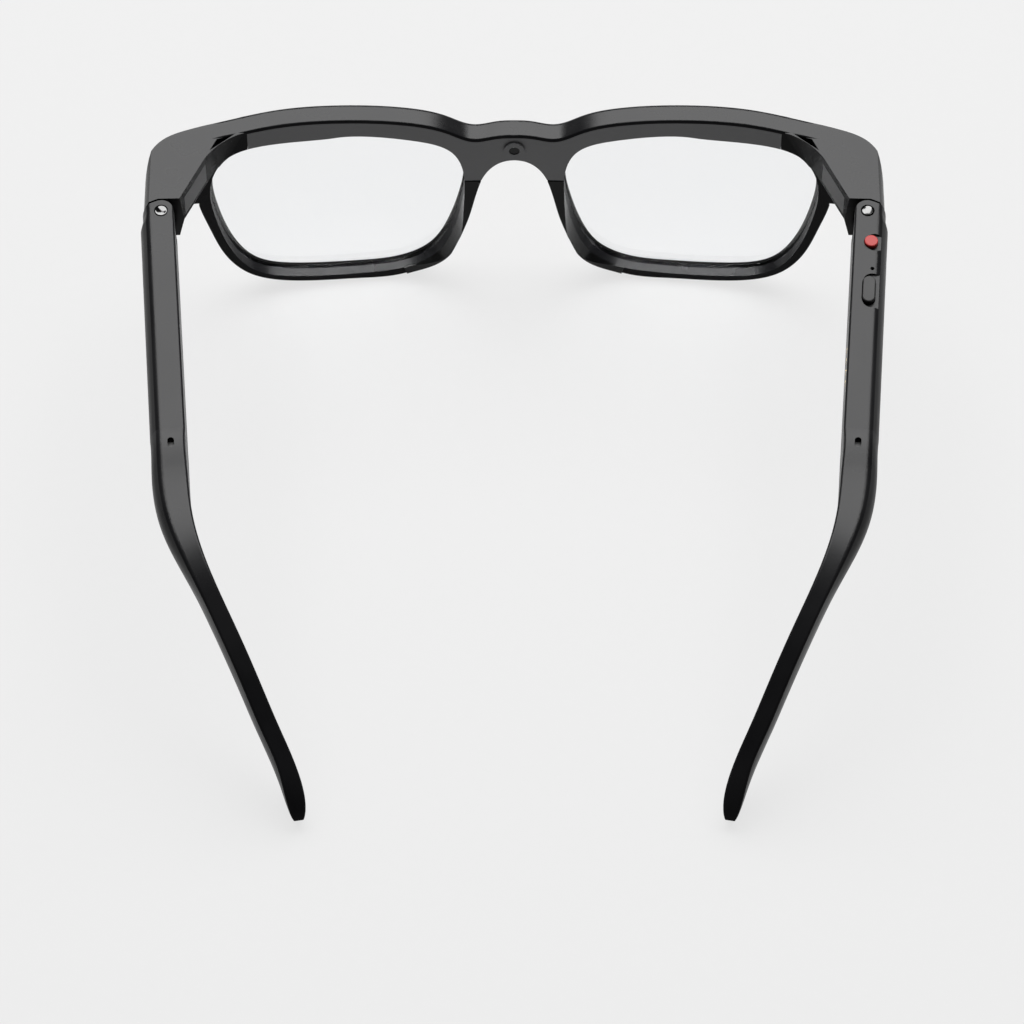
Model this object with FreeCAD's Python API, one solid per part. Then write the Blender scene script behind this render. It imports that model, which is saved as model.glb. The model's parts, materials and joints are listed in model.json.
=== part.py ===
import FreeCAD, Part
import math
import os
from FreeCAD import Vector

# Smart glasses: a moulded front with two lenses, and two temples that fold on pins and spring outwards.
# Millimetres. X runs to the wearer's right, Y forwards, Z up. Everything is drawn with the temples' top
# faces level at z = 0, left side first (negative X); the right side is its mirror image. At the end the
# whole object is tipped back by STAND_TILT, so that it stands on the rims and on the temple tips.

# Front
BASE_RADIUS = 320.0        # plan radius of the front's wrap
REAR_Y = 23.2              # rear face of the front at the middle, at z = 0
PANTO = 8.0                # the front leans forwards at the top by this angle
FRONT_THICK = 4.4          # from the rear face to the front face
LENS_REAR = 2.1            # lens rear face, measured forwards from the front's rear face
LENS_THICK = 1.4
GROOVE_DEPTH = 0.8         # how far the lens reaches into the rim
COVER_END = 54.3           # the brow cover ends here, short of the end-pieces
FRONT_ROUND = 0.8          # rounding of the front face's edges
REAR_ROUND = 0.4
COVER_THICK = 1.0          # the rear brow cover
CHANNEL_DEEP = 2.0         # wiring channel, from the rear face
RIM_BOTTOM = -48.1         # lowest point of the rims, at the rear face
BRIDGE_TOP = -6.1
NOSE_TOP = -13.4
# End-pieces
END_OUTER = 74.9           # widest point of the end-piece
END_TOP_OUTER = 73.6
END_FACET_X = 67.5         # inner corner of the end-piece at the joint
END_FACET_Y = 3.0
# Temples
PIVOT_X = 71.05
TEMPLE_YAW = 4.5           # the temples lean in by this angle
TOP_WIDTH = 5.1            # flat top face
BULGE = 1.95               # the outer side stands out this far beyond the top face
TEMPLE_HIGH = 12.6         # at the joint
END_RADIUS = 2.5           # inner front corner, about the pin
BEND_START = 60.2          # where the straight housing ends, behind the pin
WALL = 1.2
WEB_LOW = -7.7             # underside of the web between the end-piece and the rim
STAND_TILT = 5.66
STAND_Y = 44.86
STAND_Z = 46.697
# Hinge
BARREL_R = 1.85
PIN_R = 0.7
PIN_FIT = 0.05             # radial running clearance
HEAD_R = 1.25
ARM_WIDE = 1.5
ARM_LONG = 9.2
BARREL_TOP = -4.3
BARREL_LOW = -8.3
# Buttons
BUTTON_R = 1.35
BUTTON_U = 1.0             # centre, outwards from the top face's middle line
BUTTON_S = 7.5             # distance behind the pin
KEY_S = (15.9, 22.1)
KEY_WIDE = 2.6
BUTTON_GAP = 0.1
BUTTON_PROUD = 0.6
MIC_S = 13.8
PORT_S = 54.6              # oblong sound port in each temple

UP = Vector(0, 0, 1)
X_AXIS = Vector(1, 0, 0)
ORIGIN = Vector(0, 0, 0)
TILT = math.radians(PANTO)
SLIDE = Vector(0, math.cos(TILT), -math.sin(TILT))    # straight forwards through the front
parts = {}


# ---------------------------------------------------------------- helpers
def mirrored(shape):
    return shape.mirror(ORIGIN, X_AXIS)


def spline(points, start=None, end=None):
    curve = Part.BSplineCurve()
    if start is None:
        curve.interpolate(points)
    else:
        curve.interpolate(points, InitialTangent=start, FinalTangent=end)
    return curve.toShape()


def line(a, b):
    return Part.makeLine(a, b)


def polygon_face(points):
    return Part.Face(Part.makePolygon(points + [points[0]]))


def box(x0, x1, y0, y1, z0, z1):
    return Part.makeBox(x1 - x0, y1 - y0, z1 - z0, Vector(x0, y0, z0))


def cylinder(radius, x, y, z0, z1):
    return Part.makeCylinder(radius, z1 - z0, Vector(x, y, z0), UP)


def fuse(shapes):
    return shapes[0].fuse(shapes[1:]).removeSplitter()


def fillet_where(shape, radius, chosen):
    """Rounds the edges that chosen(edge) picks."""
    edges = [e for e in shape.Edges if chosen(e)]
    return shape.makeFillet(radius, edges)


# ---------------------------------------------------------------- the front
def front_point(x, z):
    """The point of the tilted drawing plane that slides straight onto the rear face at (x, z)."""
    sag = x * x / (2 * BASE_RADIUS)
    flat_z = z - sag * math.cos(TILT) * math.sin(TILT)
    return Vector(x, REAR_Y + flat_z * math.tan(TILT), flat_z)


def through_front(face):
    """Extrudes a face of the drawing plane through the whole front."""
    start = face.copy()
    start.translate(SLIDE * -25)
    return start.extrude(SLIDE * 50)


def depth_slab(d0, d1):
    """The layer between two depths, measured forwards from the curved rear face."""
    low, high = -62.0, 12.0
    centre = Vector(0, REAR_Y - BASE_RADIUS, 0)
    half = math.radians(16)
    arcs = []
    for depth in (d0, d1):
        radius = BASE_RADIUS + depth / math.cos(TILT)
        ends = [centre + Vector(radius * math.sin(a), radius * math.cos(a), 0) for a in (-half, 0, half)]
        arcs.append((Part.Arc(*ends).toShape(), ends))
    (inner, i), (outer, o) = arcs
    face = Part.Face(Part.Wire([inner, line(i[2], o[2]), outer, line(o[0], i[0])]))
    face.translate(Vector(0, low * math.tan(TILT), low))
    return face.extrude(Vector(0, (high - low) * math.tan(TILT), high - low))


def closed_loop(points):
    """A smooth closed outline through points (x, z) of the rear face."""
    curve = Part.BSplineCurve()
    curve.interpolate([front_point(x, z) for x, z in points], PeriodicFlag=True)
    return Part.Face(Part.Wire(curve.toShape()))


LENS_EDGE = [(-36.5, -4.4), (-50.0, -4.3), (-58.6, -6.6), (-62.1, -13.5), (-61.7, -23.0), (-59.0, -33.6),
             (-53.6, -42.0), (-45.0, -45.1), (-33.0, -46.1), (-24.4, -45.5), (-18.2, -42.2), (-14.2, -35.4),
             (-11.6, -26.5), (-10.6, -18.0), (-13.0, -10.9), (-21.0, -6.9)]


def grown(points, distance):
    """The closed outline with every point moved outwards by distance."""
    result = []
    for i, (x, z) in enumerate(points):
        x0, z0 = points[i - 1]
        x1, z1 = points[(i + 1) % len(points)]
        length = math.hypot(x1 - x0, z1 - z0)
        result.append((x + (z1 - z0) / length * distance, z - (x1 - x0) / length * distance))
    return result


TOP_LINE = [(-62.0, 0.0), (-49.0, 1.2), (-35.0, 0.6), (-22.0, -1.5), (-13.5, -4.6), (-8.2, -7.15), (-3.4, -6.3)]
RIM_OUTER = [(-65.0, -19.5), (-63.3, -26.5), (-60.6, -35.3), (-55.2, -43.0), (-45.3, -47.0),
             (-33.0, RIM_BOTTOM), (-24.0, -47.8), (-16.8, -43.9), (-13.2, -38.9), (-10.9, -32.5),
             (-9.5, -28.4)]
NOSE_SIDE = [(-9.5, -28.4), (-7.3, -20.8), (-5.2, -16.3), (-2.8, -14.1), (0.0, NOSE_TOP)]


def top_edge():
    """Front view of the brow's top line, wearer's left to right."""
    left = [Vector(x, 0, z) for x, z in TOP_LINE]
    right = [Vector(-x, 0, z) for x, z in reversed(TOP_LINE)]
    return spline(left + [Vector(0, 0, BRIDGE_TOP)] + right, Vector(20, 0, 1.0), Vector(20, 0, -1.0))


def below_top_line(drop):
    """Everything below the brow's top line lowered by drop."""
    edge = top_edge()
    edge.translate(Vector(0, 0, -drop))
    z = TOP_LINE[0][1] - drop
    reach = 90.0
    floor = -70.0
    corners = [Vector(62, 0, z), Vector(reach, 0, z), Vector(reach, 0, floor), Vector(-reach, 0, floor),
               Vector(-reach, 0, z), Vector(-62, 0, z)]
    sides = [line(a, b) for a, b in zip(corners, corners[1:])]
    return Part.Face(Part.Wire([edge] + sides)).extrude(Vector(0, 60, 0))


def front_silhouette():
    """Rims, bridge and nose arch seen from the front, with the top left open upwards."""
    outer = [front_point(x, z) for x, z in RIM_OUTER]
    nose = [front_point(x, z) for x, z in NOSE_SIDE]
    nose += [front_point(-x, z) for x, z in reversed(NOSE_SIDE[:-1])]
    right = [front_point(-x, z) for x, z in reversed(RIM_OUTER)]
    up = nose[0] - front_point(-11.2, -33.6)
    down = Vector(up.x, -up.y, -up.z)
    side = Vector(1.2, 0, -7)
    start = Vector(side.x, side.z * math.tan(TILT), side.z)
    back = Vector(start.x, -start.y, -start.z)
    top = 8.0
    left_top = front_point(-65.0, top)
    right_top = front_point(65.0, top)
    edges = [line(left_top, outer[0]), spline(outer, start, up), spline(nose, up, down),
             spline(right, down, back), line(right[-1], right_top), line(right_top, left_top)]
    return through_front(Part.Face(Part.Wire(edges)))


def lean_prism(edges, low, high):
    """Extrudes a plan outline drawn at z = 0 upwards along the front's lean."""
    face = Part.Face(Part.Wire(edges))
    face.translate(Vector(0, low * math.tan(TILT), low))
    return face.extrude(Vector(0, (high - low) * math.tan(TILT), high - low))


def front_corner():
    """Plan of the rounded corner from the end-piece's side to the front face."""
    points = [Vector(-END_OUTER - 0.3, -2, 0), Vector(-END_OUTER - 0.1, 6.5, 0), Vector(-74.1, 13.4, 0),
              Vector(-71.4, 17.2, 0), Vector(-66.0, 19.8, 0), Vector(-56.0, 22.35, 0)]
    return points, spline(points, Vector(0, 8, 0), Vector(8, 1.45, 0))


def end_piece():
    """The left end-piece: plan, side and front outlines cut out of one block."""
    facet = Vector(-60.4, 17.4, 0)
    corner, curve = front_corner()
    rear = Vector(-56.0, 18.5, 0)
    inner = Vector(-END_FACET_X - 2.4, -2, 0)
    block = lean_prism([curve, line(corner[-1], rear), line(rear, facet), line(facet, inner),
                        line(inner, corner[0])], -24.0, 4.0)
    side = polygon_face([Vector(-80, -3, 0), Vector(-80, -3, -12.7), Vector(-80, 2, -13.0),
                         Vector(-80, 15.5, -19.0), Vector(-80, 26, -20.5), Vector(-80, 26, 0)])
    block = block.common(side.extrude(Vector(30, 0, 0)))
    outer = spline([Vector(-END_TOP_OUTER, 0, 0), Vector(-END_OUTER, 0, -4.6), Vector(-74.6, 0, -9.0),
                    Vector(-72.6, 0, -13.4)])
    low_side = [Vector(-72.6, 0, -13.4), Vector(-66.5, 0, -19.2), Vector(-56, 0, -21), Vector(-56, 0, 0),
                Vector(-END_TOP_OUTER, 0, 0)]
    edges = [outer] + [line(a, b) for a, b in zip(low_side, low_side[1:])]
    front_view = Part.Face(Part.Wire(edges))
    front_view.translate(Vector(0, -5, 0))
    block = block.common(front_view.extrude(Vector(0, 40, 0)))
    return block.cut(web_space())


def web_space():
    """What is open below the web between the left end-piece's inner side and the rim."""
    corners = [Vector(-50, -4, WEB_LOW), Vector(-67.1, -4, WEB_LOW), Vector(-66.9, 3, WEB_LOW),
               Vector(-65.2, 13.5, WEB_LOW), Vector(-65.0, 22, WEB_LOW), Vector(-50, 22, WEB_LOW)]
    return polygon_face(corners).extrude(Vector(-4.3, 0, -20)).common(depth_slab(-30, 0))


def corner_fill():
    """Concave blend between the left end-piece's inner facet and the brow's rear face, wide at the top."""
    facet_way = Vector(9.5, 19.4, 0).normalize()
    brow_way = Vector(0.983, 0.184, 0)
    wires = []
    for drop, reach in ((-0.5, 5.6), (8.0, 1.0)):
        corner = Vector(-60.4, 17.4, 0)
        lean = Vector(0, -drop * math.tan(TILT), -drop)
        a, b = corner - facet_way * reach, corner + brow_way * reach
        middle = (a + b) * 0.5 + (corner - (a + b) * 0.5) * 0.38
        into = Vector(-0.6, 0.8, 0)
        wires.append(Part.Wire([Part.Arc(a + lean, middle + lean, b + lean).toShape(),
                                line(b + lean, b + into + lean), line(b + into + lean, a + into + lean),
                                line(a + into + lean, a + lean)]))
    return Part.makeLoft(wires, True, True)


def joint_space():
    """The space behind the end-piece's rear face, where the left temple's end turns."""
    corners = [Vector(-80, 1.9, -30), Vector(-73.9, 1.9, -30), Vector(-71.8, 2.85, -30),
               Vector(-64, 3.05, -30), Vector(-64, -12, -30), Vector(-80, -12, -30)]
    return polygon_face(corners).extrude(Vector(0, 0, 40))


def depth_of(point):
    """How far a point lies forwards of the front's curved rear face."""
    across = math.hypot(point.x, point.y - REAR_Y + BASE_RADIUS - point.z * math.tan(TILT))
    return (across - BASE_RADIUS) * math.cos(TILT)


def runs_at_depth(edge, depth):
    """True for an edge that lies at one depth, away from the middle and from the open ends."""
    first, last = edge.ParameterRange
    samples = [edge.valueAt(first + (last - first) * i / 6) for i in range(7)]
    at_middle = all(abs(p.x) < 0.01 for p in samples)
    return not at_middle and all(abs(depth_of(p) - depth) < 0.03 for p in samples)


def front_blank():
    """The left half of the front without its holes."""
    shell = front_silhouette().common(depth_slab(0, FRONT_THICK)).common(below_top_line(0))
    shell = shell.common(box(-90, 0, -10, 60, -80, 20))
    shell = fillet_where(shell, FRONT_ROUND, lambda e: runs_at_depth(e, FRONT_THICK))
    shell = fillet_where(shell, REAR_ROUND, lambda e: runs_at_depth(e, 0))
    shell = shell.cut(outside_corner())
    return fuse([shell, corner_fill().common(below_top_line(0)), end_piece().cut(joint_space())])


def outside_corner():
    """What the left front corner's rounding takes off the rims."""
    corner, curve = front_corner()
    far = [corner[-1], Vector(-56, 40, 0), Vector(-90, 40, 0), Vector(-90, -2, 0), corner[0]]
    return lean_prism([curve] + [line(a, b) for a, b in zip(far, far[1:])], -64.0, 12.0)



# ---------------------------------------------------------------- the left temple, in its own frame
# The pin is the origin, -Y runs back along the temple, -X is its outer side, and z = 0 is its top face.
def station_wire(centre, heading, pitch, width, bulge, high):
    """One cross-section of the temple: flat top, upright inner side and a bulging outer side."""
    back = Vector(math.sin(heading) * math.cos(pitch), -math.cos(heading) * math.cos(pitch), -math.sin(pitch))
    out = Vector(-math.cos(heading), -math.sin(heading), 0)
    rise = out.cross(back)
    if rise.z < 0:
        rise = rise * -1
    half = width / 2
    soft = 0.13 * width
    low_out = half - 0.12 * width

    def at(u, v):
        return centre + out * u + rise * v

    def corner(before, knee, after):
        """A small rounded corner between two points, bulging towards the knee."""
        middle = (before + after) * 0.5
        return Part.Arc(before, middle + (knee - middle) * 0.45, after).toShape()

    top_in, top_out = at(-half + soft, 0), at(half - soft, 0)
    side_top, side_low = at(half + 0.30 * bulge, -0.9 * soft), at(low_out + 0.4 * bulge, -high + soft)
    side_mid = at(half + bulge, -0.45 * high)
    low_right, low_left = at(low_out - soft, -high), at(-half + soft, -high)
    in_low, in_top = at(-half, -high + soft), at(-half, -soft)
    edges = [line(top_in, top_out),
             corner(top_out, at(half, 0), side_top),
             Part.Arc(side_top, side_mid, side_low).toShape(),
             corner(side_low, at(low_out, -high), low_right),
             line(low_right, low_left),
             corner(low_left, at(-half, -high), in_low),
             line(in_low, in_top),
             corner(in_top, at(-half, 0), top_in)]
    return Part.Wire(edges)


BEND_PATH = [(0, -BEND_START, 0), (3.1, -79.7, -1.1), (9.1, -94.3, -7.6), (17.45, -113.1, -23.0),
             (19.6, -121.6, -30.0)]


def eased(value):
    """A smooth step from 0 to 1."""
    value = min(1.0, value)
    return value * value * (3 - 2 * value)


def straight_size(s):
    """Top width, bulge and height of the straight housing at distance s behind the pin."""
    t = max(s, 0.0) / BEND_START
    return TOP_WIDTH + 0.15 * t, BULGE, TEMPLE_HIGH - 1.8 * t


def temple_solid():
    """The left temple's whole outside."""
    width, bulge, high = straight_size(0)
    joint_bulge = END_OUTER - END_TOP_OUTER + 0.1
    front = [station_wire(Vector(0, y, 0), 0, 0, width, b, high)
             for y, b in ((3.2, joint_bulge), (0.0, joint_bulge), (-1.8, bulge))]
    nose = Part.makeLoft(front, True, True)
    before_bend = (BEND_START - 9, BEND_START)
    ends = [station_wire(Vector(0, -s, 0), 0, 0, *straight_size(s)) for s in (1.8,) + before_bend]
    housing = Part.makeLoft(ends[:2], True, True)
    wires = ends[1:]
    path = Part.BSplineCurve()
    path.interpolate([Vector(*p) for p in BEND_PATH], InitialTangent=Vector(0, -20, 0),
                     FinalTangent=Vector(0.6, -7, -6))
    first, last = path.FirstParameter, path.LastParameter
    steps = 8
    for i in range(1, steps + 1):
        t = i / steps
        where = path.value(first + (last - first) * t)
        along = path.tangent(first + (last - first) * t)[0]
        heading = math.atan2(along.x, -along.y)
        pitch = math.asin(-along.z)
        shrink = 1.0 if i < steps else 0.86
        width = (5.25 - 1.7 * eased(2.6 * t)) * shrink
        bulge = (BULGE - 1.8 * eased(2.2 * t)) * shrink
        full_high = 10.8 - 3.9 * t
        # the rounded end keeps its middle line
        drop = 0.5 * full_high * (1 - shrink)
        wires.append(station_wire(where - Vector(0, 0, drop), heading, pitch, width, bulge, full_high * shrink))
    end = path.value(last) + path.tangent(last)[0] * 1.2
    along = path.tangent(last)[0]
    wires.append(station_wire(end - Vector(0, 0, 1.4), math.atan2(along.x, -along.y), math.asin(-along.z),
                              1.9, 0.1, 4.0))
    arm = Part.makeLoft(wires, True, False)
    return nose, housing, arm



CAVITY = [(1.45, -1.4), (-1.9, -1.4), (-3.2, -3.2), (-3.2, -8.2), (-1.9, -9.5), (1.45, -9.5)]
CAVITY_S = (11.0, 61.0)
COVER_FACE = 2.57          # the inner cover's face, inwards from the middle line


def cavity():
    section = [Vector(x, -CAVITY_S[0], z) for x, z in CAVITY]
    return polygon_face(section).extrude(Vector(0, CAVITY_S[0] - CAVITY_S[1], 0))


def end_cutter():
    """Everything in front of the temple's rounded front end, about the pin."""
    a = math.radians(115)
    touch = Vector(END_RADIUS * math.cos(a), END_RADIUS * math.sin(a), -30)
    middle = Vector(END_RADIUS * math.cos(a / 2), END_RADIUS * math.sin(a / 2), -30)
    side = Vector(END_RADIUS, 0, -30)
    outline = [Vector(7, 0, -30), Vector(7, 9, -30), Vector(-9, 9, -30), Vector(-9, 1.5, -30),
               Vector(-2.85, 1.5, -30), touch]
    edges = [line(side, outline[0])] + [line(a, b) for a, b in zip(outline, outline[1:])]
    edges.append(Part.Arc(touch, middle, side).toShape())
    return Part.Face(Part.Wire(edges)).extrude(Vector(0, 0, 40))


def slot_prism(half_wide, s0, s1, x, z0, z1):
    """An upright prism with round ends, running back along the temple."""
    a, b = Vector(x - half_wide, -s0 - half_wide, z0), Vector(x + half_wide, -s0 - half_wide, z0)
    c, d = Vector(x + half_wide, -s1 + half_wide, z0), Vector(x - half_wide, -s1 + half_wide, z0)
    edges = [Part.Arc(a, Vector(x, -s0, z0), b).toShape(), line(b, c),
             Part.Arc(c, Vector(x, -s1, z0), d).toShape(), line(d, a)]
    return Part.Face(Part.Wire(edges)).extrude(Vector(0, 0, z1 - z0))


def to_pivot(shape):
    """From the temple's own frame to the object's, left side."""
    moved = shape.copy()
    moved.rotate(ORIGIN, UP, TEMPLE_YAW)
    moved.translate(Vector(-PIVOT_X, 0, 0))
    return moved


# ---------------------------------------------------------------- hinge, with the pin at the origin
def hinge_pin():
    """Screw with a domed head: it holds the temple's two lugs and turns in the arm's barrel."""
    head = cylinder(HEAD_R, 0, 0, -0.65, 0.04)
    head = fillet_where(head, 0.2, lambda e: e.BoundBox.ZMin > 0)
    shank = cylinder(PIN_R, 0, 0, -11.2, -0.65)
    return fuse([head, shank])


def hinge_arm():
    barrel = cylinder(BARREL_R, 0, 0, BARREL_LOW, BARREL_TOP)
    arm = box(-ARM_WIDE / 2, ARM_WIDE / 2, 0, ARM_LONG, BARREL_LOW + 0.4, BARREL_TOP - 0.4)
    foot = box(-1.1, 1.1, ARM_LONG - 0.9, ARM_LONG, BARREL_LOW + 0.4, BARREL_TOP - 0.4)
    bore = cylinder(PIN_R + PIN_FIT, 0, 0, BARREL_LOW - 1, BARREL_TOP + 1)
    return fuse([barrel, arm, foot]).cut(bore)


def hinge_bracket():
    """Steel fork in the temple: two lugs above and below the barrel, and a spine with two screw holes."""
    gap = 0.08
    solids = []
    for low, high in ((BARREL_TOP + gap, BARREL_TOP + 2.0), (BARREL_LOW - 2.1, BARREL_LOW - gap)):
        solids.append(cylinder(BARREL_R, 0, 0, low, high))
        solids.append(box(-1.5, 1.5, -3.4, 0, low, high))
    spine = box(-1.5, 1.5, -3.4, -2.2, BARREL_LOW - 2.1, BARREL_TOP + 2.0)
    tail = box(-0.4, 0.7, -9.6, -2.2, BARREL_LOW - 2.1, -3.6)
    fork = fuse(solids + [spine, tail])
    fork = fork.cut(cylinder(PIN_R + 0.02, 0, 0, -14, 0))
    for y, z in BRACKET_SCREWS:
        fork = fork.cut(Part.makeCylinder(0.55, 4, Vector(-2, y, z), X_AXIS))
    return fork


BRACKET_SCREWS = [(-5.2, -5.2), (-7.9, -8.9)]


def bracket_screws():
    screws = []
    for y, z in BRACKET_SCREWS:
        shank = Part.makeCylinder(0.5, 3.4, Vector(-2.7, y, z), X_AXIS)
        head = Part.makeCylinder(0.95, 0.5, Vector(0.7, y, z), X_AXIS)
        slot = box(1.0, 2.0, y - 0.8, y + 0.8, z - 0.12, z + 0.12)
        screws.append(shank.fuse(head).cut(slot).removeSplitter())
    return Part.makeCompound(screws)


def coil_spring(radius, wire, turns, start, length):
    """A closed-end coil spring along +Y, as rings joined in one stack."""
    pitch = length / turns
    rings = []
    for i in range(turns):
        y = start.y + pitch * (i + 0.5)
        rings.append(Part.makeTorus(radius, wire, Vector(start.x, y, start.z), Vector(0, 1, 0)))
        if i:
            angle = math.pi * i
            spot = Vector(start.x + radius * math.cos(angle), y - pitch, start.z + radius * math.sin(angle))
            rings.append(Part.makeCylinder(wire * 0.8, pitch, spot, Vector(0, 1, 0)))
    return fuse(rings)


def bracket_pocket():
    """Room in the temple's front end for the fork, the barrel, the arm's swing, the pin and its head."""
    low, high = BARREL_LOW - 2.1, BARREL_TOP + 2.0
    open_side = 4.0
    return fuse([cylinder(BARREL_R, 0, 0, low, high),
                 box(-1.5, open_side, -3.4, 0, low, high),
                 box(-0.4, open_side, -9.6, -3.4, low, -3.6),
                 cylinder(BARREL_R + 0.1, 0, 0, BARREL_LOW - 0.08, BARREL_TOP + 0.08),
                 box(-0.95, open_side, -1.95, 4, BARREL_LOW - 0.08, BARREL_TOP + 0.08),
                 cylinder(PIN_R + 0.02, 0, 0, -11.2, 0),
                 cylinder(HEAD_R + 0.15, 0, 0, -0.65, 1)])


# ---------------------------------------------------------------- the temples
def temple(side):
    """Adds one temple's pieces, drawn as a left temple in its own frame, to parts."""
    right = side == "right"
    whole = fuse(temple_solid())
    ends = end_cutter()
    ends.rotate(ORIGIN, UP, -TEMPLE_YAW)
    whole = whole.cut(ends)

    opening = box(1.45, 6, -62.0, -3.45, -10.0, -1.1)
    shell = whole.cut(opening).cut(cavity()).cut(bracket_pocket())
    cover = box(1.45, COVER_FACE, -61.95, -3.5, -9.95, -1.15)
    cover = fillet_where(cover, 0.3, lambda e: e.Length < 1.2 and abs(e.tangentAt(0).x) > 0.9)
    port = slot_prism(0.65, PORT_S - 1.1, PORT_S + 1.1, -0.3, -2, 1)
    shell = shell.cut(port)
    for y, z in BRACKET_SCREWS:
        shell = shell.cut(Part.makeCylinder(0.5, 3.0, Vector(-2.7, y, z), X_AXIS))
    wire_start, wire_end = Vector(7.7, -92.1, -10.9), Vector(15.6, -110.0, -25.0)
    run = wire_end - wire_start
    core = Part.makeCylinder(0.7, run.Length, wire_start, run)
    shell = shell.cut(core)

    pieces = {"core_wire": core, "speaker_mesh": slot_prism(0.64, PORT_S - 1.09, PORT_S + 1.09, -0.3, -1.2, -0.9),
              "hinge_bracket": hinge_bracket(), "bracket_screws": bracket_screws(), "hinge_pin": hinge_pin()}
    pieces["speaker"] = speaker()
    battery_front = 26.0 if right else 14.0
    cell = box(-3.1, 0.2, -44.0, -battery_front, -8.1, -3.3)
    pieces["battery"] = fillet_where(cell, 0.5, lambda e: abs(e.tangentAt(0).y) > 0.9)
    if right:
        shell = shell.cut(button_cuts())
        pieces.update(buttons())
        pieces["main_board"] = main_board()
        contacts = [Part.makeCylinder(0.75, COVER_FACE + 0.03 - 1.1, Vector(1.1, y, -5.5), X_AXIS)
                    for y in (-30, -32.6, -35.2, -37.8)]
        pieces["charge_contacts"] = Part.makeCompound(contacts)
        for contact in contacts:
            cover = cover.cut(contact)
    else:
        board = box(0.5, 1.05, -46.0, -12.5, -9.0, -2.0)
        pieces["battery_board"] = board
    pieces["shell"] = shell
    pieces["cover"] = cover
    for name, shape in pieces.items():
        placed = to_pivot(shape)
        if right:
            placed = mirrored(placed)
        if name in RIGHT_ONLY:
            parts[name] = placed
        elif name == "shell":
            parts["temple_" + side] = placed
        elif name == "cover":
            parts["temple_cover_" + side] = placed
        else:
            parts[name + "_" + side] = placed


RIGHT_ONLY = ("power_button", "function_key", "power_dome", "function_dome", "button_board",
              "microphone", "main_board", "charge_contacts", "battery_board")


def speaker():
    """A closed speaker box with its sound outlet under the port."""
    body = box(-3.0, 0.3, -60.5, -47.5, -8.1, -3.2)
    body = fillet_where(body, 0.4, lambda e: abs(e.tangentAt(0).y) > 0.9)
    neck = box(-1.2, 0.6, -PORT_S - 1.6, -PORT_S + 1.6, -3.3, -1.5)
    return fuse([body, neck])


def button_cuts():
    """Recesses, holes and pockets for the two keys and the microphone."""
    x = -BUTTON_U
    s0, s1 = KEY_S
    half = KEY_WIDE / 2
    terrace = slot_prism(1.75, s0 - 0.9, s1 + 0.9, x - 0.55, -0.5, 2)
    return fuse([cylinder(2.0, x - 0.8, -BUTTON_S, -0.5, 2),
                 terrace, box(x - 6, x - 0.55, -s1 - 0.9, -s0 + 0.9, -0.5, 2),
                 cylinder(BUTTON_R + BUTTON_GAP, x, -BUTTON_S, -2, 2),
                 cylinder(1.85, x, -BUTTON_S, -2.6, -1.4),
                 slot_prism(half + BUTTON_GAP, s0 - BUTTON_GAP, s1 + BUTTON_GAP, x, -2, 2),
                 slot_prism(half + 0.4, s0 - 0.4, s1 + 0.4, x, -2.6, -1.4),
                 cylinder(0.4, -1.5, -MIC_S, -2, 2),
                 box(-2.3, 1.45, -12, -5.2, -3.2, -1.4)])


def buttons():
    """Power button, function key, their snap domes, the flex board under them and the microphone."""
    x = -BUTTON_U
    s0, s1 = KEY_S
    half = KEY_WIDE / 2
    cap = cylinder(BUTTON_R, x, -BUTTON_S, -1.9, BUTTON_PROUD)
    cap = fillet_where(cap, 0.22, lambda e: e.BoundBox.ZMin > BUTTON_PROUD - 0.01)
    power = fuse([cap, cylinder(1.7, x, -BUTTON_S, -1.95, -1.5)])
    key = slot_prism(half, s0, s1, x, -1.9, BUTTON_PROUD + 0.1)
    key = fillet_where(key, 0.3, lambda e: e.BoundBox.ZMin > BUTTON_PROUD)
    key = fuse([key, slot_prism(half + 0.28, s0 - 0.28, s1 + 0.28, x, -1.95, -1.5)])
    board = box(-2.2, 1.2, -24.0, -5.4, -2.8, -2.5)
    result = {"power_button": power, "function_key": key, "button_board": board}
    key_mid = (s0 + s1) / 2
    for name, s in (("power_dome", BUTTON_S), ("function_dome", key_mid)):
        base, top, reach = -2.5, -1.97, 1.3
        ball = (reach * reach + (top - base) ** 2) / (2 * (top - base))
        dome = Part.makeSphere(ball, Vector(x, -s, top - ball))
        result[name] = dome.common(box(x - 2, x + 2, -s - 2, -s + 2, base, top + 1))
    result["microphone"] = box(-1.9, -0.3, -14.9, -12.6, -2.5, -1.62)
    return result


def main_board():
    board = box(0.5, 1.05, -46.0, -12.5, -9.0, -3.0)
    can = box(-1.0, 0.5, -24.6, -14.0, -8.3, -3.6)
    can = fillet_where(can, 0.25, lambda e: e.BoundBox.XMax < -0.9)
    return fuse([board, can])


# ---------------------------------------------------------------- the front's pieces
SENSOR_Z = -10.1


def sensor_disc(radius, d0, d1):
    """A disc on the bridge, along the front's depth."""
    start = front_point(0, SENSOR_Z) + SLIDE * d0
    return Part.makeCylinder(radius, d1 - d0, start, SLIDE)


def plane_polygon(points):
    return through_front(polygon_face([front_point(x, z) for x, z in points]))


def brow_region(edge, drop):
    """The rear brow between the two end-pieces, down to the nose."""
    reach = COVER_END + edge
    low = -19.3 - edge
    area = [(-reach, 6), (reach, 6), (reach, -9.5), (12, low), (-12, low), (-reach, -9.5)]
    return plane_polygon(area).common(front_silhouette()).common(below_top_line(drop))


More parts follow.
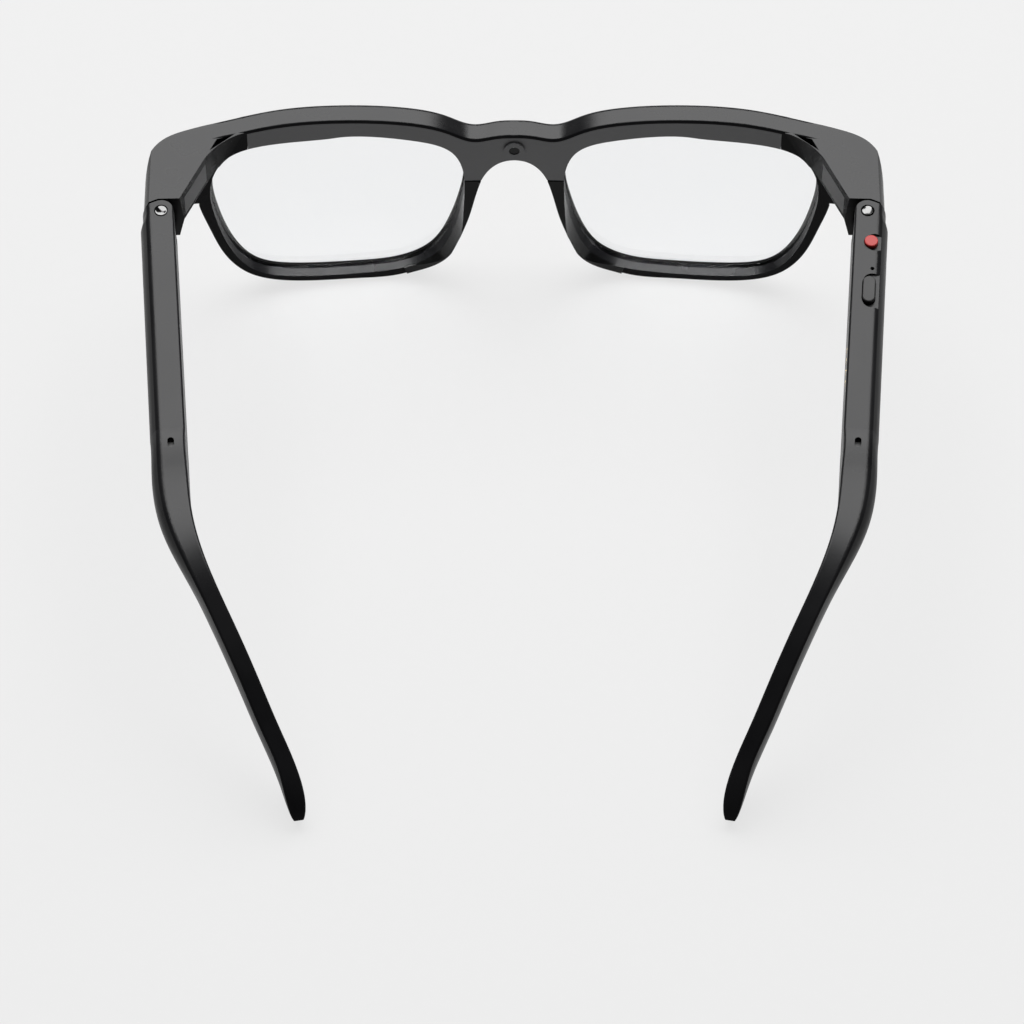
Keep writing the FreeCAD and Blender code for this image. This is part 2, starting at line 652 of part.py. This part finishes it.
# Stations along the left nose side: lens side (x, z), nose side (x, z) and height of the rest
NOSE_STATIONS = [((-10.5, -19.6), (-7.0, -19.6), 0.15), ((-10.6, -24.6), (-8.3, -24.9), 1.4),
                 ((-10.9, -29.2), (-9.7, -28.7), 2.4), ((-11.9, -33.6), (-10.9, -32.6), 2.9),
                 ((-14.2, -38.6), (-13.3, -39.1), 2.6), ((-17.2, -42.0), (-16.5, -43.6), 1.4),
                 ((-23.4, -45.0), (-22.6, -47.6), 0.15)]


def nose_rest():
    """The left nose rest: a ridge on the rim's rear face that follows the rim's two edges."""
    sunk, beyond = 0.3, 3.0
    wires = []
    for lens_side, nose_side, height in NOSE_STATIONS:
        a, b = front_point(*lens_side), front_point(*nose_side)
        sag = SLIDE * (-nose_side[0] ** 2 / (2 * BASE_RADIUS))
        reach = (b - a).normalize() * beyond
        low, high = SLIDE * sunk + sag, SLIDE * -height + sag
        corners = [a - reach + low, b + reach + low, b + reach + high, a - reach + high]
        wires.append(Part.makePolygon(corners + [corners[0]]))
    ridge = Part.makeLoft(wires, True, False)
    return ridge.common(front_silhouette()).cut(lens_hole()[0])


def facet_prism(t0, t1, d0, d1, low, high):
    """A block measured along the left end-piece's inner facet (t) and into it (d)."""
    start = Vector(-END_FACET_X - 2.4, -2, 0)
    along = (Vector(-60.4, 17.4, 0) - start).normalize()
    inward = Vector(-along.y, along.x, 0)
    corners = [start + along * t + inward * d for t, d in ((t0, d0), (t1, d0), (t1, d1), (t0, d1))]
    edges = [line(a, b) for a, b in zip(corners, corners[1:] + corners[:1])]
    block = lean_prism(edges, -24.0, 4.0)
    return block.common(box(-90, 0, -10, 60, low, high))


def arm_space():
    """Where the hinge arm lies and swings in the left end-piece, with the spring's bore ahead of it."""
    low, high = BARREL_LOW + 0.25, BARREL_TOP - 0.25
    middle = (BARREL_LOW + BARREL_TOP) / 2
    corners = [Vector(-1.0, 0.5, low), Vector(-1.3, ARM_LONG + 0.1, low), Vector(3.3, ARM_LONG + 0.1, low),
               Vector(3.3, ARM_LONG - 3, low), Vector(1.7, 0.5, low)]
    swing = polygon_face(corners).extrude(Vector(0, 0, high - low))
    bore = Part.makeCylinder(1.45, 4.4, Vector(0, ARM_LONG, middle), Vector(0, 1, 0))
    space = fuse([swing, bore])
    space.translate(Vector(-PIVOT_X, 0, 0))
    return space


GROOVE_START = LENS_REAR - 0.03
GROOVE_END = LENS_REAR + LENS_THICK + 0.03
SEAL_WIDE = 0.4
# How fast the lens opening widens towards the nose behind the lens, per millimetre of depth
FLARE = {10: 0.45, 11: 0.40, 12: 0.18}
FLARE_FROM = 2.4
FLARE_REACH = 9.0


def lens_hole():
    """The left lens opening: flared rear part, groove for the lens and the opening in front of it."""
    inner_loop = grown(LENS_EDGE, 0.2)
    outer_loop = list(inner_loop)
    for i, rate in FLARE.items():
        x, z = outer_loop[i]
        outer_loop[i] = (x + rate * (FLARE_FROM + FLARE_REACH), z)
    start = closed_loop(inner_loop)
    start.translate(SLIDE * FLARE_FROM)
    end = closed_loop(outer_loop)
    end.translate(SLIDE * -FLARE_REACH)
    rear = Part.makeLoft([start.OuterWire, end.OuterWire], True, True).common(depth_slab(-12, GROOVE_START))
    groove = through_front(closed_loop(grown(LENS_EDGE, GROOVE_DEPTH)))
    groove = groove.common(depth_slab(GROOVE_START, GROOVE_END))
    opening = through_front(closed_loop(grown(LENS_EDGE, SEAL_WIDE))).common(depth_slab(GROOVE_END, 12))
    return rear, groove, opening


def lens_seal():
    """Rubber ring that lines the opening in front of the left lens."""
    outer = through_front(closed_loop(grown(LENS_EDGE, SEAL_WIDE - 0.02)))
    inner = through_front(closed_loop(LENS_EDGE))
    return outer.cut(inner).common(depth_slab(GROOVE_END + 0.02, FRONT_THICK - 0.15))


def front():
    """Adds the pieces that ride on the front to parts."""
    left_half = box(-90, 0, -10, 60, -80, 20)
    rear, groove, opening = lens_hole()
    lens = through_front(closed_loop(grown(LENS_EDGE, GROOVE_DEPTH - 0.05)))
    lens = lens.common(depth_slab(LENS_REAR, LENS_REAR + LENS_THICK))
    seal = lens_seal()
    pad = nose_rest()
    cover = brow_region(0, 0.7).common(left_half)
    seat = brow_region(0.06, 0.62).common(left_half).common(depth_slab(-3, COVER_THICK))
    rim_room = through_front(closed_loop(grown(LENS_EDGE, 1.3)))
    channel = brow_region(-1.0, 1.9).common(depth_slab(0.5, CHANNEL_DEEP))
    channel = channel.common(plane_polygon([(-70, 6), (0, 6), (0, -12.0), (-70, -12.0)])).cut(rim_room)
    flex = brow_region(-1.4, 2.15).cut(below_top_line(3.7)).common(depth_slab(1.3, 1.5))
    frame = front_blank()
    for cut in (seat, opening, groove, rear, channel, sensor_disc(1.75, -1, 2.2), pad, arm_space(),
                facet_prism(7.4, 16.6, -1, 0.9, -6.95, -1.9),
                facet_prism(8.3, 15.7, 0.5, 3.2, -6.4, -2.8)):
        frame = frame.cut(cut)
    parts["front_frame"] = fuse([frame, mirrored(frame)])
    cover = cover.common(depth_slab(0, COVER_THICK)).cut(rear).cut(pad).cut(sensor_disc(1.75, -1, 2))
    parts["brow_cover"] = fuse([cover, mirrored(cover)])
    parts["brow_flex"] = flex
    parts["sensor_bezel"] = fuse([sensor_disc(2.15, -0.5, -0.02), sensor_disc(1.72, -0.02, 1.1)]).cut(
        sensor_disc(1.1, -1, 3))
    parts["sensor_window"] = sensor_disc(1.08, -0.35, 0.3)
    parts["sensor_module"] = sensor_disc(1.0, 0.4, 1.25)
    plate = facet_prism(7.45, 16.55, 0, 0.88, -6.9, -1.95)
    spring_y = ARM_LONG + 0.02
    spring_z = (BARREL_LOW + BARREL_TOP) / 2
    spring = coil_spring(1.0, 0.22, 5, Vector(-PIVOT_X, spring_y, spring_z), 4.2)
    arm = hinge_arm()
    arm.translate(Vector(-PIVOT_X, 0, 0))
    for name, shape in (("lens", lens), ("lens_seal", seal), ("nose_rest", pad), ("end_cover", plate), ("flex_spring", spring),
                        ("hinge_arm", arm)):
        parts[name + "_left"] = shape
        parts[name + "_right"] = mirrored(shape)


def stand(shape):
    """Tips the object back onto its temple tips and puts the origin under the middle of its box."""
    placed = shape.copy()
    placed.rotate(ORIGIN, X_AXIS, STAND_TILT)
    placed.translate(Vector(0, STAND_Y, STAND_Z))
    return placed


front()
temple("left")
temple("right")
os.makedirs("parts", exist_ok=True)
for name, shape in parts.items():
    placed = stand(shape)
    if not placed.isValid():
        print(name, "isn't valid")
    placed.exportStep("parts/" + name + ".step")
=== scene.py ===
import json
import math

import bpy
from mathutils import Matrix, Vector

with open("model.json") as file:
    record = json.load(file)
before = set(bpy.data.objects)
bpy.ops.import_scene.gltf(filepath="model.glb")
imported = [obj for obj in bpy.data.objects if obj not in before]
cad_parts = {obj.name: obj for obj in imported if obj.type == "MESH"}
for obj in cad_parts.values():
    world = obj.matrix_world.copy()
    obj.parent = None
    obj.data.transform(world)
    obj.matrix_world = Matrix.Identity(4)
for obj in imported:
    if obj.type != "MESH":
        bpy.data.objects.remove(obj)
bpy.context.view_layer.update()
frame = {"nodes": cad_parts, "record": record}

# Smart glasses, standing open on their rims and temple tips: black moulded plastic, clear lenses,
# a red button. Metres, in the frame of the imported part.

MM = 0.001
STAND_TILT = math.radians(5.66)                 # the glasses lean back by this when they stand
PIN = Vector((0, 44.86, 46.697)) * MM           # middle of the line between the two hinge pins' tops


def placed(x, y, z):
    """A point given with the temples level and the hinge pins at y = 0, z = 0, in millimetres."""
    c, s = math.cos(STAND_TILT), math.sin(STAND_TILT)
    return PIN + Vector((x, y * c - z * s, y * s + z * c)) * MM


# ---------------------------------------------------------------- materials
def new_material(name):
    material = bpy.data.materials.new(name)
    material.use_nodes = True
    nodes = material.node_tree.nodes
    return material, nodes, material.node_tree.links, nodes["Principled BSDF"]


def texture_space(nodes, links, scale):
    coords = nodes.new("ShaderNodeTexCoord")
    mapping = nodes.new("ShaderNodeMapping")
    mapping.inputs["Scale"].default_value = scale
    links.new(coords.outputs["Object"], mapping.inputs["Vector"])
    return mapping.outputs["Vector"]


def noise(nodes, links, vector, scale, detail=3.0, roughness=0.5):
    node = nodes.new("ShaderNodeTexNoise")
    node.inputs["Scale"].default_value = scale
    node.inputs["Detail"].default_value = detail
    node.inputs["Roughness"].default_value = roughness
    links.new(vector, node.inputs["Vector"])
    return node.outputs["Fac"]


def spread(nodes, links, value, low, high, start=0.3, end=0.7):
    node = nodes.new("ShaderNodeMapRange")
    node.inputs["From Min"].default_value = start
    node.inputs["From Max"].default_value = end
    node.inputs["To Min"].default_value = low
    node.inputs["To Max"].default_value = high
    links.new(value, node.inputs["Value"])
    return node.outputs["Result"]


def tint(nodes, links, value, dark, light):
    node = nodes.new("ShaderNodeMix")
    node.data_type = "RGBA"
    node.inputs["A"].default_value = (*dark, 1)
    node.inputs["B"].default_value = (*light, 1)
    links.new(value, node.inputs["Factor"])
    return node.outputs["Result"]


def bumped(nodes, links, shader, height, strength, distance):
    node = nodes.new("ShaderNodeBump")
    node.inputs["Strength"].default_value = strength
    node.inputs["Distance"].default_value = distance
    links.new(height, node.inputs["Height"])
    links.new(node.outputs["Normal"], shader.inputs["Normal"])


def moulded_plastic(name, dark, light, rough, grain=0.12, specular=0.5, side_specular=None):
    """Injection-moulded plastic: faint colour clouds, uneven gloss and a very fine spark-eroded grain."""
    material, nodes, links, shader = new_material(name)
    space = texture_space(nodes, links, (1, 1, 1))
    clouds = noise(nodes, links, space, 90, 4)
    fine = noise(nodes, links, space, 4200, 2)
    colour = tint(nodes, links, spread(nodes, links, clouds, 0, 1), dark, light)
    links.new(colour, shader.inputs["Base Color"])
    links.new(spread(nodes, links, clouds, rough[0], rough[1]), shader.inputs["Roughness"])
    shader.inputs["Specular IOR Level"].default_value = specular
    if side_specular is not None:
        duller_sides(nodes, links, shader, side_specular, specular)
    bumped(nodes, links, shader, fine, grain, 0.00003)
    return material


def duller_sides(nodes, links, shader, side, top):
    """Less gloss on upright faces than on level ones. It stands in for dark surroundings beside the object,
    which the pale floor here doesn't give; the real plastic is most likely the same all over."""
    geometry = nodes.new("ShaderNodeNewGeometry")
    split = nodes.new("ShaderNodeSeparateXYZ")
    links.new(geometry.outputs["Normal"], split.inputs["Vector"])
    gloss_level = spread(nodes, links, split.outputs["Z"], side, top, 0.45, 0.9)
    links.new(gloss_level, shader.inputs["Specular IOR Level"])


def brushed_metal(name, dark, light, rough, direction):
    """Metal with fine drawn lines, squeezed along one direction."""
    material, nodes, links, shader = new_material(name)
    space = texture_space(nodes, links, direction)
    lines = noise(nodes, links, space, 2500, 3)
    links.new(tint(nodes, links, lines, dark, light), shader.inputs["Base Color"])
    links.new(spread(nodes, links, lines, rough[0], rough[1]), shader.inputs["Roughness"])
    shader.inputs["Metallic"].default_value = 1.0
    bumped(nodes, links, shader, lines, 0.1, 0.00002)
    return material


def hammered_metal(name, dark, light):
    """Dark polished metal with broad dents. They stand in for a partial reflection on the hinge heads;
    the real heads' shape isn't known."""
    material, nodes, links, shader = new_material(name)
    space = texture_space(nodes, links, (1, 1, 1))
    dents = noise(nodes, links, space, 300, 0)
    links.new(tint(nodes, links, dents, dark, light), shader.inputs["Base Color"])
    links.new(spread(nodes, links, dents, 0.08, 0.14), shader.inputs["Roughness"])
    shader.inputs["Metallic"].default_value = 1.0
    bumped(nodes, links, shader, dents, 1.0, 0.002)
    return material


def clear_lens():
    """Coated clear lens that lets lamps through, with a faint uneven coating."""
    material, nodes, links, shader = new_material("lens_clear")
    space = texture_space(nodes, links, (1, 1, 1))
    haze = noise(nodes, links, space, 60, 3)
    colour = tint(nodes, links, haze, (0.965, 0.975, 0.985), (0.985, 0.99, 0.995))
    links.new(colour, shader.inputs["Base Color"])
    links.new(spread(nodes, links, haze, 0.0, 0.02), shader.inputs["Roughness"])
    shader.inputs["Transmission Weight"].default_value = 1.0
    shader.inputs["IOR"].default_value = 1.5
    through = nodes.new("ShaderNodeBsdfTransparent")
    through.inputs["Color"].default_value = (0.97, 0.975, 0.98, 1)
    rays = nodes.new("ShaderNodeLightPath")
    mixer = nodes.new("ShaderNodeMixShader")
    links.new(rays.outputs["Is Shadow Ray"], mixer.inputs["Fac"])
    links.new(shader.outputs["BSDF"], mixer.inputs[1])
    links.new(through.outputs["BSDF"], mixer.inputs[2])
    links.new(mixer.outputs["Shader"], nodes["Material Output"].inputs["Surface"])
    return material


# The brow cover is lighter and more reflective than the rims: this is painted light. The lighter grey
# stands in for the light falling on the brow's rear face, which looks lighter from behind because it slants
# up into the light.
black = moulded_plastic("frame_black", (0.004, 0.004, 0.0045), (0.006, 0.006, 0.0065), (0.22, 0.30),
                        0.1, 0.17, 0.04)
arm_black = moulded_plastic("arm_black", (0.005, 0.005, 0.0055), (0.007, 0.007, 0.0075), (0.26, 0.34),
                            0.15, 0.16, 0.03)
brow_painted_light = moulded_plastic("brow_painted_light", (0.055, 0.055, 0.057), (0.070, 0.070, 0.073), (0.38, 0.48),
                             0.3, 0.5)
satin = moulded_plastic("cover_satin", (0.030, 0.030, 0.031), (0.040, 0.040, 0.042), (0.38, 0.48), 0.3, 0.4)
gloss = moulded_plastic("rest_gloss", (0.002, 0.002, 0.002), (0.003, 0.003, 0.003), (0.12, 0.2), 0.05, 0.15)
rubber = moulded_plastic("seal_rubber", (0.002, 0.002, 0.002), (0.003, 0.003, 0.003), (0.6, 0.8), 0.3, 0.05)
key_black = moulded_plastic("key_black", (0.006, 0.006, 0.006), (0.009, 0.009, 0.009), (0.4, 0.5), 0.3, 0.2)
red = moulded_plastic("button_red", (0.22, 0.014, 0.012), (0.27, 0.02, 0.018), (0.35, 0.45), 0.2, 0.2)
steel = brushed_metal("steel", (0.5, 0.5, 0.5), (0.7, 0.7, 0.69), (0.2, 0.35), (1, 1, 8))
polished = hammered_metal("polished_steel", (0.07, 0.07, 0.07), (0.085, 0.085, 0.084))
gold = brushed_metal("gold_contact", (0.7, 0.5, 0.2), (0.85, 0.65, 0.3), (0.15, 0.25), (1, 1, 1))
film = moulded_plastic("flex_film", (0.45, 0.2, 0.04), (0.6, 0.3, 0.07), (0.3, 0.4), 0.1)
mask = moulded_plastic("solder_mask", (0.01, 0.07, 0.035), (0.02, 0.1, 0.05), (0.25, 0.35), 0.1)
foil = brushed_metal("battery_foil", (0.6, 0.6, 0.62), (0.78, 0.78, 0.8), (0.25, 0.45), (1, 1, 1))
speaker_black = moulded_plastic("speaker_black", (0.02, 0.02, 0.02), (0.03, 0.03, 0.03), (0.5, 0.6), 0.3)
lens_clear = clear_lens()

# brow_cover and bezel get the lighter grey that is painted light, for the lit rear face of the brow.
LOOKS = {"frame": black, "brow_cover": brow_painted_light, "temple": arm_black, "inner_cover": satin,
         "nose_rest": gloss, "seal": rubber, "lens": lens_clear, "bezel": brow_painted_light, "window": gloss,
         "sensor": speaker_black, "flex_circuit": film,
         "board": mask, "steel": steel, "pin_steel": polished, "spring_steel": steel, "core_wire": steel,
         "battery": foil, "speaker": speaker_black, "mesh": speaker_black, "dome": steel, "contact": gold,
         "red_button": red, "key": key_black, "microphone": foil}
SLOT_OF = {part["node"]: part["material_slot"] for part in frame["record"]["subparts"]}

for name, node in frame["nodes"].items():
    for slot in node.material_slots:
        slot.material = LOOKS[SLOT_OF[name]]


# ---------------------------------------------------------------- stage, lights and camera
def floor():
    mesh = bpy.data.meshes.new("floor")
    reach = 3.0
    corners = [(-reach, -reach, 0), (reach, -reach, 0), (reach, reach, 0), (-reach, reach, 0)]
    mesh.from_pydata(corners, [], [(0, 1, 2, 3)])
    piece = bpy.data.objects.new("floor", mesh)
    bpy.context.scene.collection.objects.link(piece)
    material, nodes, links, shader = new_material("floor_paper")
    space = texture_space(nodes, links, (1, 1, 1))
    paper = noise(nodes, links, space, 400, 2)
    colour = tint(nodes, links, paper, (0.055, 0.055, 0.055), (0.06, 0.06, 0.06))
    links.new(colour, shader.inputs["Base Color"])
    shader.inputs["Roughness"].default_value = 0.9
    shader.inputs["Specular IOR Level"].default_value = 0.1
    shader.inputs["Emission Color"].default_value = (1, 1, 1, 1)
    shader.inputs["Emission Strength"].default_value = 0.73
    mesh.materials.append(material)


def soft_box(name, position, target, width, height, power):
    data = bpy.data.lights.new(name, "AREA")
    data.shape = "RECTANGLE"
    data.size = width
    data.size_y = height
    data.energy = power
    light = bpy.data.objects.new(name, data)
    bpy.context.scene.collection.objects.link(light)
    light.location = position
    light.rotation_euler = (Vector(target) - Vector(position)).to_track_quat("-Z", "Y").to_euler()


floor()
middle = placed(0, -40, -15)
up = math.radians(66) - STAND_TILT
soft_box("front_top", middle + Vector((0, math.cos(up), math.sin(up))) * 1.2, middle, 1.6, 1.1, 50)

world = bpy.data.worlds.new("studio")
world.use_nodes = True
world.node_tree.nodes["Background"].inputs["Color"].default_value = (1, 1, 1, 1)
world.node_tree.nodes["Background"].inputs["Strength"].default_value = 0.05
bpy.context.scene.world = world
bpy.context.scene.view_settings.view_transform = "Standard"

camera_data = bpy.data.cameras.new("camera")
camera_data.sensor_width = 36.0
camera_data.lens = 4650 / 1024 * 36.0
camera = bpy.data.objects.new("camera", camera_data)
bpy.context.scene.collection.objects.link(camera)
camera.location = placed(-0.47, -520, 779.4)
camera.rotation_euler = (placed(-0.47, -70, 0) - camera.location).to_track_quat("-Z", "Y").to_euler()
bpy.context.scene.camera = camera
